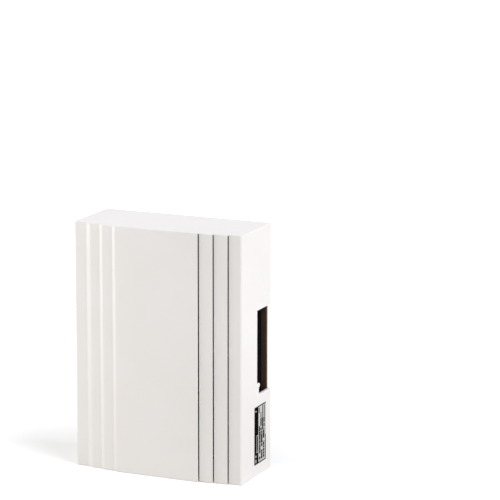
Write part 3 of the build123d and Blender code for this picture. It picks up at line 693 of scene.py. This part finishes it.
def slab(shape, x0, x1, y0, y1, z0, z1, corner=0.0):
    """Adds a flat slab that faces along X, with its four upright corners rounded."""
    points = [(y0, z0), (y1, z0), (y1, z1), (y0, z1)]
    outline = rounded_outline(points, [corner] * 4) if corner else [Vector(p) for p in points]
    rear = [shape.verts.new((x0, p.x, p.y)) for p in outline]
    front = [shape.verts.new((x1, p.x, p.y)) for p in outline]
    shape.faces.new(list(reversed(rear)))
    shape.faces.new(front)
    for i in range(len(outline)):
        j = (i + 1) % len(outline)
        shape.faces.new((rear[i], rear[j], front[j], front[i]))


def mark_rows_tree(material):
    """Rows of plain bars that run along Z, with gaps and lengths that vary from a fixed seed."""
    tree, size = geometry_tree("mark_rows", {
        "Rows": 4, "Marks": 9, "Row Pitch": 0.0022, "Mark Pitch": 0.0032, "Mark Width": 0.0009,
        "Shortest": 0.0012, "Longest": 0.0029, "Thickness": 0.00002, "Kept Share": 0.86, "Seed": 5})
    across = calculate(tree, "MULTIPLY", size["Row Pitch"], calculate(tree, "SUBTRACT", size["Rows"], 1.0))
    along = calculate(tree, "MULTIPLY", size["Mark Pitch"], calculate(tree, "SUBTRACT", size["Marks"], 1.0))
    rows = add(tree, "GeometryNodeMeshGrid", inputs={
        "Size X": across, "Size Y": along, "Vertices X": size["Rows"], "Vertices Y": size["Marks"]})
    bar = add(tree, "GeometryNodeMeshCube", inputs={"Size": (1.0, 1.0, 1.0)})
    length = add(tree, "FunctionNodeRandomValue", {"data_type": "FLOAT"}, {
        2: size["Shortest"], 3: size["Longest"], "Seed": size["Seed"]})
    kept = add(tree, "FunctionNodeRandomValue", {"data_type": "BOOLEAN"}, {
        "Probability": size["Kept Share"], "Seed": calculate(tree, "ADD", size["Seed"], 1.0)})
    scale = add(tree, "ShaderNodeCombineXYZ", inputs={
        0: size["Mark Width"], 1: length.outputs[1], 2: size["Thickness"]})
    marks = add(tree, "GeometryNodeInstanceOnPoints", inputs={
        "Points": rows.outputs[0], "Selection": kept.outputs[3], "Instance": bar.outputs[0],
        "Scale": scale.outputs[0]})
    return close_tree(tree, marks.outputs[0], material)


INK_MM = 0.03          # height of the print over the film
FILM_CORNER_MM = 0.7
BORDER_MM = 0.6        # width of the printed border, which stands in by the inset
INSET_MM = 0.2
SEAM_MM = 0.02         # left between printed bars, so that none shares an edge with another
BAND_MM = 5.2          # black band along the front edge
REAR_BAR_MM = 0.9      # black bar along the lower part of the rear edge
REAR_BAR_TOP = 0.44    # heights on the sticker are shares of the print's height, from its foot
RULE_MM = 0.3          # thin rules across the print, and their heights
RULE_HEIGHTS = (0.55, 0.33)
RULE_GAPS_MM = (0.5, 0.3)
FRAME_MM = 0.35        # pale frame inside the band: its line, places from the band's rear edge, heights
FRAME_PLACE_MM = (2.6, 0.3)
FRAME_HEIGHTS = (0.2, 0.5)

# Pale marks inside the band: near and far edge from the band's front in millimetres, lower and upper height
PALE_MARKS = [(1.4, 2.5, 0.03, 0.09), (1.4, 2.5, 0.12, 0.16), (1.2, 2.4, 0.915, 0.94)]

# Rows of black bars: rows, bars in each, row pitch, bar width and longest bar in millimetres, lower and upper
# height, and the seed of their lengths. The shortest bar is SHORTEST times the longest.
MARK_ROWS = [
    (4, 2, 2.2, 0.9, 4.2, 0.76, 0.97, 2),
    (4, 5, 2.1, 1.5, 2.0, 0.56, 0.75, 7),
    (3, 4, 2.6, 1.9, 1.8, 0.34, 0.54, 11),
    (3, 5, 2.6, 1.8, 1.9, 0.05, 0.32, 5),
]
SHORTEST = 0.55


def sticker():
    """A plain data sticker: light film, black border, black band along its front edge, and rows of plain
    bars in place of words."""
    low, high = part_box("rating_label")
    ink, seam, inset, line, rim = (size * MM for size in (INK_MM, SEAM_MM, INSET_MM, BORDER_MM, FRAME_MM))
    face = high.x - ink
    film = bmesh.new()
    slab(film, low.x, face, low.y, high.y, low.z, high.z, FILM_CORNER_MM * MM)
    bmesh.ops.recalc_face_normals(film, faces=film.faces)
    show("sticker_film", mesh_of(film, "sticker_film"), FILM, "rating_label")

    black, pale = bmesh.new(), bmesh.new()
    near, far, foot, top = low.y + inset, high.y - inset, low.z + inset, high.z - inset
    tall, band, end = top - foot, near + BAND_MM * MM, far - REAR_BAR_MM * MM

    def rule(shape, y0, y1, z0, z1, rise=0.0):
        """A plain printed bar between two places across the sticker and two heights."""
        slab(shape, face - rise, high.x - ink / 2 + rise, y0, y1, z0, z1)

    rule(black, near, band, foot, top)
    rule(black, band + seam, far, foot, foot + line)
    rule(black, band + seam, far, top - line, top)
    rule(black, end, far, foot + line + seam, foot + tall * REAR_BAR_TOP)
    before, after = (gap * MM for gap in RULE_GAPS_MM)
    for share in RULE_HEIGHTS:
        rule(black, band + before, end - after, foot + tall * share, foot + tall * share + RULE_MM * MM)
    frame_low, frame_high = (foot + tall * share for share in FRAME_HEIGHTS)
    frame_near, frame_far = (band - place * MM for place in FRAME_PLACE_MM)
    rule(pale, frame_near, frame_near + rim, frame_low, frame_high, ink / 2)
    rule(pale, frame_far - rim, frame_far, frame_low, frame_high, ink / 2)
    rule(pale, frame_near + rim + seam, frame_far - rim - seam, frame_low, frame_low + rim, ink / 2)
    rule(pale, frame_near + rim + seam, frame_far - rim - seam, frame_high - rim, frame_high, ink / 2)
    for first, last, bottom, upper in PALE_MARKS:
        rule(pale, near + first * MM, near + last * MM, foot + tall * bottom, foot + tall * upper, ink / 2)
    upright = Matrix(((0, 0, 1, 0), (1, 0, 0, 0), (0, 1, 0, 0), (0, 0, 0, 1)))
    for rows, marks, pitch, width, longest, bottom, upper, seed in MARK_ROWS:
        mesh = grown(mark_rows_tree(INK), Rows=rows, Marks=marks, Row_Pitch=pitch * MM,
                     Mark_Pitch=tall * (upper - bottom) / marks, Mark_Width=width * MM,
                     Shortest=longest * SHORTEST * MM, Longest=longest * MM, Thickness=ink / 2, Seed=seed)
        middle = face + ink / 4, (band + end) / 2, foot + tall * (bottom + upper) / 2
        mesh.transform(Matrix.Translation(middle) @ upright)
        black.from_mesh(mesh)
    for name, shape, material in (("sticker_print", black, INK), ("sticker_pale_marks", pale, FILM)):
        bmesh.ops.recalc_face_normals(shape, faces=shape.faces)
        show(name, mesh_of(shape, name), material, "rating_label", replaced=False)


# ---------------------------------------------------------------- CAD nodes with eased edges

# CAD node, name of its piece, how far its corners are eased in millimetres, material
EASED = [
    ("front_cover", "cover_moulding", 0.12, WHITE_STYRENE),
    ("base_plate", "base_moulding", 0.2, DARK_STYRENE),
    ("tone_plate_low", "low_tone_bar", 0.25, LACQUER_WITH_PAINTED_SHADE),
    ("tone_plate_high", "high_tone_bar", 0.25, LACQUER_WITH_PAINTED_SHADE),
    ("tone_plate_pins", "plate_pins", 0.2, ZINC),
    ("solenoid_yoke", "folded_yoke", 0.15, ZINC),
    ("coil_bobbin", "bobbin_moulding", 0.2, NATURAL_NYLON),
    ("coil_winding", "wound_copper", 0.1, COPPER),
    ("coil_tape", "winding_tape", 0.05, TAPE),
    ("guide_tube", "plunger_tube", 0.12, BRASS),
    ("coil_pins", "lead_pins", 0.12, BRASS),
    ("plunger_core", "steel_plunger", 0.1, GROUND_STEEL),
    ("striker_low", "low_striker_rod", 0.15, TURNED_NYLON),
    ("striker_high", "high_striker_rod", 0.15, TURNED_NYLON),
    ("yoke_screws", "yoke_screw_heads", 0.1, ZINC),
    ("terminal_housing", "terminal_moulding", 0.2, TERMINAL_NYLON),
    ("terminal_bars", "brass_bars", 0.12, BRASS),
    ("clamp_cage_left", "left_clamp_cage", 0.1, ZINC),
    ("clamp_cage_right", "right_clamp_cage", 0.1, ZINC),
    ("terminal_screw_left", "left_clamp_screw", 0.1, ZINC),
    ("terminal_screw_right", "right_clamp_screw", 0.1, ZINC),
    ("block_screws", "block_screw_heads", 0.1, ZINC),
    ("coil_lead_left", "left_coil_lead", 0.1, SLEEVING),
    ("coil_lead_right", "right_coil_lead", 0.1, SLEEVING),
]

for node, name, edge_mm, material in EASED:
    soft_edged(node, name, edge_mm, material)
return_spring()
pin_wraps()
solder_joints()
pin_retainers()
grommets()
sticker()


# ---------------------------------------------------------------- floor, light and camera

FLOOR_HALF, FLOOR_GAP = 6.0, 0.05 * MM
FLOOR_SEEN, FLOOR_LIT_BY = "#E6E6E6", "#DAD7D0"  # its colour to the camera, and to light that bounces off it
GLOW_NEAR, GLOW_FAR = 0.08, 0.3  # metres from the box's middle between which the floor turns fully white
GLOW_LEAST = 0.3
WORLD_LIGHT, WORLD_SEEN = 0.45, 1.0  # strength of the surround as light, and as it is seen


def seen_rays(tree):
    """1 for rays by which the camera sees a surface, straight, mirrored or through glass, and 0 for light."""
    path = add(tree, "ShaderNodeLightPath").outputs
    indirect = calculate(tree, "MAXIMUM", path["Is Glossy Ray"], path["Is Transmission Ray"])
    return calculate(tree, "MAXIMUM", path["Is Camera Ray"], indirect)


def white_floor():
    """A plain pale floor under the box, white to the camera, which keeps the box's shadow."""
    shape = bmesh.new()
    bmesh.ops.create_grid(shape, x_segments=1, y_segments=1, size=FLOOR_HALF)
    mesh = mesh_of(shape, "floor")
    mesh.transform(Matrix.Translation((0, 0, cad_box[0][2] - FLOOR_GAP)))
    floor = bpy.data.objects.new("floor", mesh)
    bpy.context.scene.collection.objects.link(floor)
    material = bpy.data.materials.new("matt_white_floor")
    material.use_nodes = True
    tree = material.node_tree
    tree.nodes.clear()
    seen = seen_rays(tree)
    colour = two_tone(tree, seen, FLOOR_LIT_BY, FLOOR_SEEN)
    matt = add(tree, "ShaderNodeBsdfDiffuse", inputs={"Color": colour})
    place = add(tree, "ShaderNodeTexCoord").outputs["Object"]
    away = add(tree, "ShaderNodeVectorMath", {"operation": "LENGTH"}, {0: place}).outputs["Value"]
    glow = add(tree, "ShaderNodeMapRange", {"interpolation_type": "SMOOTHSTEP"}, {
        "Value": away, "From Min": GLOW_NEAR, "From Max": GLOW_FAR, "To Min": GLOW_LEAST}).outputs[0]
    lift = add(tree, "ShaderNodeEmission", inputs={
        "Color": linear("#FFFFFF"), "Strength": calculate(tree, "MULTIPLY", seen, glow)})
    both = add(tree, "ShaderNodeAddShader", inputs={0: matt.outputs[0], 1: lift.outputs[0]})
    add(tree, "ShaderNodeOutputMaterial", inputs={"Surface": both.outputs[0]})
    mesh.materials.append(material)


# Name, degrees to the right of the front, degrees up, metres away, metres across, watts, tint
LAMPS = [
    ("right_lamp", 75, 48, 2.5, 1.7, 43.6, (0.975, 0.99, 1.03)),
    ("left_lamp", -70, 11.5, 0.5, 0.3, 0.9, (1.0, 0.98, 0.96)),
    ("front_fill", -30, 17, 0.5, 0.3, 0.15, (1.0, 0.98, 0.965)),
]


def studio_light():
    """An even surround that is seen as white, a broad high lamp on the right, a small low one near the left
    side and a weak one near the front."""
    world = bpy.data.worlds.new("studio")
    bpy.context.scene.world = world
    world.use_nodes = True
    tree = world.node_tree
    tree.nodes.clear()
    strength = add(tree, "ShaderNodeMapRange", inputs={
        "Value": seen_rays(tree), "To Min": WORLD_LIGHT, "To Max": WORLD_SEEN}).outputs[0]
    white = add(tree, "ShaderNodeBackground", inputs={"Color": linear("#FFFFFF"), "Strength": strength})
    add(tree, "ShaderNodeOutputWorld", inputs={"Surface": white.outputs[0]})

    for name, from_front, up, away, width, power, tint in LAMPS:
        lamp = bpy.data.lights.new(name, "AREA")
        lamp.shape, lamp.size, lamp.energy, lamp.color = "DISK", width, power, tint
        stand = bpy.data.objects.new(name, lamp)
        stand.visible_camera = False
        bpy.context.scene.collection.objects.link(stand)
        turn, rise = math.radians(from_front), math.radians(up)
        towards = Vector((math.sin(turn) * math.cos(rise), -math.cos(turn) * math.cos(rise), math.sin(rise)))
        facing = towards.to_track_quat("Z", "Y").to_matrix().to_4x4()
        stand.matrix_world = Matrix.Translation(towards * away) @ facing


def camera():
    """The photograph's viewpoint, from a fit to seven corners of the box in its 500 pixel frame."""
    azimuth, elevation, roll = (math.radians(degrees) for degrees in (23.70, 11.9508, 0.0965))
    distance, aim_right, aim_up = 1.457967, 0.0331831, 0.0470157
    focal_px, frame_px, sensor_mm, near_clip, far_clip = 2700.0, 500.0, 36.0, 0.05, 20.0
    back = Vector((math.sin(azimuth) * math.cos(elevation), -math.cos(azimuth) * math.cos(elevation),
                   math.sin(elevation)))
    right = Vector((math.cos(azimuth), math.sin(azimuth), 0.0))
    up = back.cross(right)
    place = back * distance + right * aim_right + up * aim_up
    across = right * math.cos(roll) + up * math.sin(roll)
    upward = up * math.cos(roll) - right * math.sin(roll)
    lens = bpy.data.cameras.new("camera")
    lens.sensor_fit, lens.sensor_width, lens.lens = "HORIZONTAL", sensor_mm, focal_px / frame_px * sensor_mm
    lens.clip_start, lens.clip_end = near_clip, far_clip
    seen_from = bpy.data.objects.new("camera", lens)
    bpy.context.scene.collection.objects.link(seen_from)
    turn = Matrix((across, upward, back)).transposed().to_4x4()
    seen_from.matrix_world = Matrix.Translation(place) @ turn
    bpy.context.scene.camera = seen_from


white_floor()
studio_light()
camera()
bpy.context.scene.view_settings.view_transform = "Standard"
